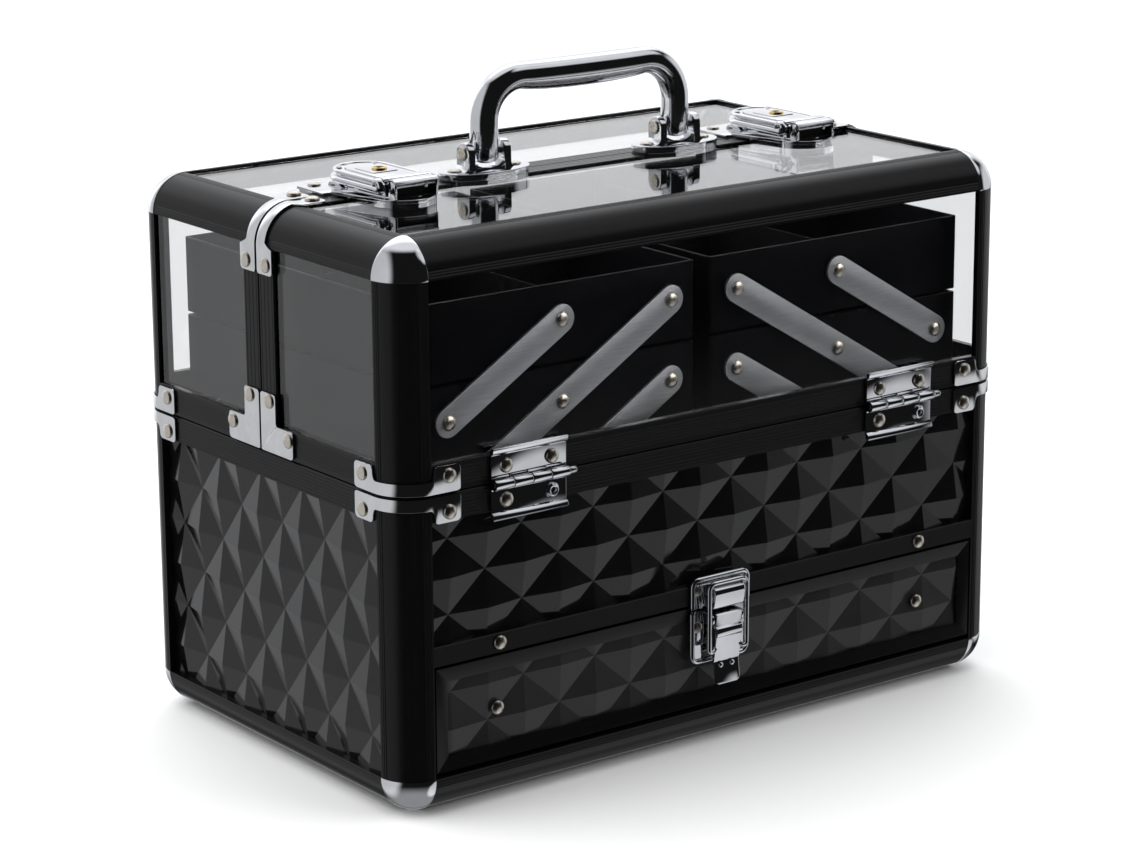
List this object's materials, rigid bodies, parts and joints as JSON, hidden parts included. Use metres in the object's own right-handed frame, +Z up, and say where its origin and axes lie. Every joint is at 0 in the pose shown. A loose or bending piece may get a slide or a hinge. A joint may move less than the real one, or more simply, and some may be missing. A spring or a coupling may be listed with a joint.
{
  "type": "makeup train case",
  "caption": "Boxy black makeup train case with clear split lid, cantilever trays, front drawer, chrome fittings and top handle.",
  "frame": {"origin": "middle of the flat underside, on the surface the case stands on", "axes": "+X along the long face to the right of someone facing the drawer, -Y out of the drawer front, +Z up"},
  "size_m": [0.3444, 0.2212, 0.2982],
  "materials": {
    "black_panel": "glossy",
    "black_board": "satin",
    "black_frame": "black anodised, satin",
    "chrome_fittings": "polished",
    "steel_pins": "satin",
    "nickel_rivets": "nickel plated, satin",
    "brass_key": "satin",
    "clear_acrylic": "glossy",
    "tray_plastic": "satin",
    "arm_steel": "brushed"
  },
  "bodies": {
    "base": {"base_end_panels": "black_panel", "base_back_panel": "black_panel", "base_front_panel": "black_panel", "base_floor": "black_board", "drawer_deck": "black_board", "base_frame": "black_frame", "base_top_rails": "black_frame", "drawer_cross_rail": "black_frame", "base_corner_caps": "chrome_fittings", "base_seam_brackets": "chrome_fittings", "lower_hinge_leaves": "chrome_fittings", "hinge_pins": "steel_pins", "base_rivets": "nickel_rivets", "base_pivot_studs": "steel_pins", "drawer_strike": "chrome_fittings", "drawer_runners": "black_board"},
    "front_lid": {"front_lid_windows": "clear_acrylic", "front_lid_frame": "black_frame", "front_lid_seam_bars": "black_frame", "front_lid_corner_caps": "chrome_fittings", "front_lid_seam_brackets": "chrome_fittings", "front_lid_centre_brackets": "chrome_fittings", "front_lid_hinge_leaves": "chrome_fittings", "front_lid_rivets": "nickel_rivets", "top_latch_plates": "chrome_fittings", "handle_brackets": "chrome_fittings", "handle_pins": "steel_pins"},
    "back_lid": {"back_lid_windows": "clear_acrylic", "back_lid_frame": "black_frame", "back_lid_seam_bars": "black_frame", "back_lid_corner_caps": "chrome_fittings", "back_lid_seam_brackets": "chrome_fittings", "back_lid_centre_brackets": "chrome_fittings", "back_lid_hinge_leaves": "chrome_fittings", "back_lid_rivets": "nickel_rivets", "top_latch_strikes": "chrome_fittings"},
    "carry_handle": {"handle": "chrome_fittings"},
    "left_latch": {"left_latch_cover": "chrome_fittings"},
    "left_key": {"left_latch_key": "brass_key"},
    "left_long_arm_pair": {"left_long_arms": "arm_steel"},
    "left_lower_arm_pair": {"left_lower_arms": "arm_steel"},
    "left_upper_arm_pair": {"left_upper_arms": "arm_steel"},
    "left_tray_low": {"left_lower_tray": "tray_plastic"},
    "left_tray_high": {"left_upper_tray": "tray_plastic"},
    "right_latch": {"right_latch_cover": "chrome_fittings"},
    "right_key": {"right_latch_key": "brass_key"},
    "right_long_arm_pair": {"right_long_arms": "arm_steel"},
    "right_lower_arm_pair": {"right_lower_arms": "arm_steel"},
    "right_upper_arm_pair": {"right_upper_arms": "arm_steel"},
    "right_tray_low": {"right_lower_tray": "tray_plastic"},
    "right_tray_high": {"right_upper_tray": "tray_plastic"},
    "drawer": {"drawer_box": "black_board", "drawer_front_panel": "black_panel", "drawer_trim": "black_frame", "drawer_latch_plate": "chrome_fittings", "drawer_rivets": "nickel_rivets"},
    "drawer_lever": {"drawer_latch_lever": "chrome_fittings"},
    "drawer_bail": {"drawer_latch_bail": "steel_pins"}
  },
  "joints": [
    {"name": "front_lid_hinge", "type": "hinge", "parent": "base", "child": "front_lid", "pos_m": [0, -0.1065, 0.1415], "axis": [1, 0, 0], "range_deg": [0, 95]},
    {"name": "back_lid_hinge", "type": "hinge", "parent": "base", "child": "back_lid", "pos_m": [0, 0.1065, 0.1415], "axis": [-1, 0, 0], "range_deg": [0, 95]},
    {"name": "handle_hinge", "type": "hinge", "parent": "front_lid", "child": "carry_handle", "pos_m": [0, -0.0045, 0.26], "axis": [1, 0, 0], "range_deg": [-88, 88]},
    {"name": "left_latch_hinge", "type": "hinge", "parent": "front_lid", "child": "left_latch", "pos_m": [-0.112, -0.026, 0.256], "axis": [1, 0, 0], "range_deg": [0, 100]},
    {"name": "left_key_turn", "type": "hinge", "parent": "left_latch", "child": "left_key", "pos_m": [-0.112, -0.008, 0.259], "axis": [0, 0, 1], "range_deg": [0, 90]},
    {"name": "right_latch_hinge", "type": "hinge", "parent": "front_lid", "child": "right_latch", "pos_m": [0.112, -0.026, 0.256], "axis": [1, 0, 0], "range_deg": [0, 100]},
    {"name": "right_key_turn", "type": "hinge", "parent": "right_latch", "child": "right_key", "pos_m": [0.112, -0.008, 0.259], "axis": [0, 0, 1], "range_deg": [0, 90]},
    {"name": "drawer_slide", "type": "slide", "parent": "base", "child": "drawer", "axis": [0, -1, 0], "range_m": [0, 0.15]},
    {"name": "drawer_lever_hinge", "type": "hinge", "parent": "drawer", "child": "drawer_lever", "pos_m": [0, -0.1095, 0.06], "axis": [-1, 0, 0], "range_deg": [0, 120]},
    {"name": "drawer_bail_hinge", "type": "hinge", "parent": "drawer_lever", "child": "drawer_bail", "pos_m": [0, -0.1103, 0.048], "axis": [-1, 0, 0], "range_deg": [-110, 0]},
    {"name": "left_tray_swing", "type": "hinge", "parent": "base", "child": "left_long_arm_pair", "pos_m": [-0.1365, 0, 0.132], "axis": [0, -1, 0], "range_deg": [0, 8.5]},
    {"name": "left_low_tray_level", "type": "hinge", "parent": "left_long_arm_pair", "child": "left_tray_low", "pos_m": [-0.0775, 0, 0.1678], "axis": [0, -1, 0], "range_deg": [-8.5, 0]},
    {"name": "left_high_tray_level", "type": "hinge", "parent": "left_long_arm_pair", "child": "left_tray_high", "pos_m": [-0.0185, 0, 0.2036], "axis": [0, -1, 0], "range_deg": [-8.5, 0]},
    {"name": "left_lower_arm_swing", "type": "hinge", "parent": "base", "child": "left_lower_arm_pair", "pos_m": [-0.0775, 0, 0.132], "axis": [0, -1, 0], "range_deg": [0, 8.5]},
    {"name": "left_upper_arm_swing", "type": "hinge", "parent": "left_tray_low", "child": "left_upper_arm_pair", "pos_m": [-0.1365, 0, 0.1678], "axis": [0, -1, 0], "range_deg": [0, 8.5]},
    {"name": "right_tray_swing", "type": "hinge", "parent": "base", "child": "right_long_arm_pair", "pos_m": [0.1365, 0, 0.132], "axis": [0, 1, 0], "range_deg": [0, 8.5]},
    {"name": "right_low_tray_level", "type": "hinge", "parent": "right_long_arm_pair", "child": "right_tray_low", "pos_m": [0.0775, 0, 0.1678], "axis": [0, 1, 0], "range_deg": [-8.5, 0]},
    {"name": "right_high_tray_level", "type": "hinge", "parent": "right_long_arm_pair", "child": "right_tray_high", "pos_m": [0.0185, 0, 0.2036], "axis": [0, 1, 0], "range_deg": [-8.5, 0]},
    {"name": "right_lower_arm_swing", "type": "hinge", "parent": "base", "child": "right_lower_arm_pair", "pos_m": [0.0775, 0, 0.132], "axis": [0, 1, 0], "range_deg": [0, 8.5]},
    {"name": "right_upper_arm_swing", "type": "hinge", "parent": "right_tray_low", "child": "right_upper_arm_pair", "pos_m": [0.1365, 0, 0.1678], "axis": [0, 1, 0], "range_deg": [0, 8.5]}
  ],
  "couplings": [
    {"joint": "back_lid_hinge", "follows": "front_lid_hinge", "ratio": 1},
    {"joint": "drawer_bail_hinge", "follows": "drawer_lever_hinge", "ratio": -0.9},
    {"joint": "left_low_tray_level", "follows": "left_tray_swing", "ratio": -1},
    {"joint": "left_high_tray_level", "follows": "left_tray_swing", "ratio": -1},
    {"joint": "left_lower_arm_swing", "follows": "left_tray_swing", "ratio": 1},
    {"joint": "left_upper_arm_swing", "follows": "left_tray_swing", "ratio": 1},
    {"joint": "right_low_tray_level", "follows": "right_tray_swing", "ratio": -1},
    {"joint": "right_high_tray_level", "follows": "right_tray_swing", "ratio": -1},
    {"joint": "right_lower_arm_swing", "follows": "right_tray_swing", "ratio": 1},
    {"joint": "right_upper_arm_swing", "follows": "right_tray_swing", "ratio": 1}
  ]
}
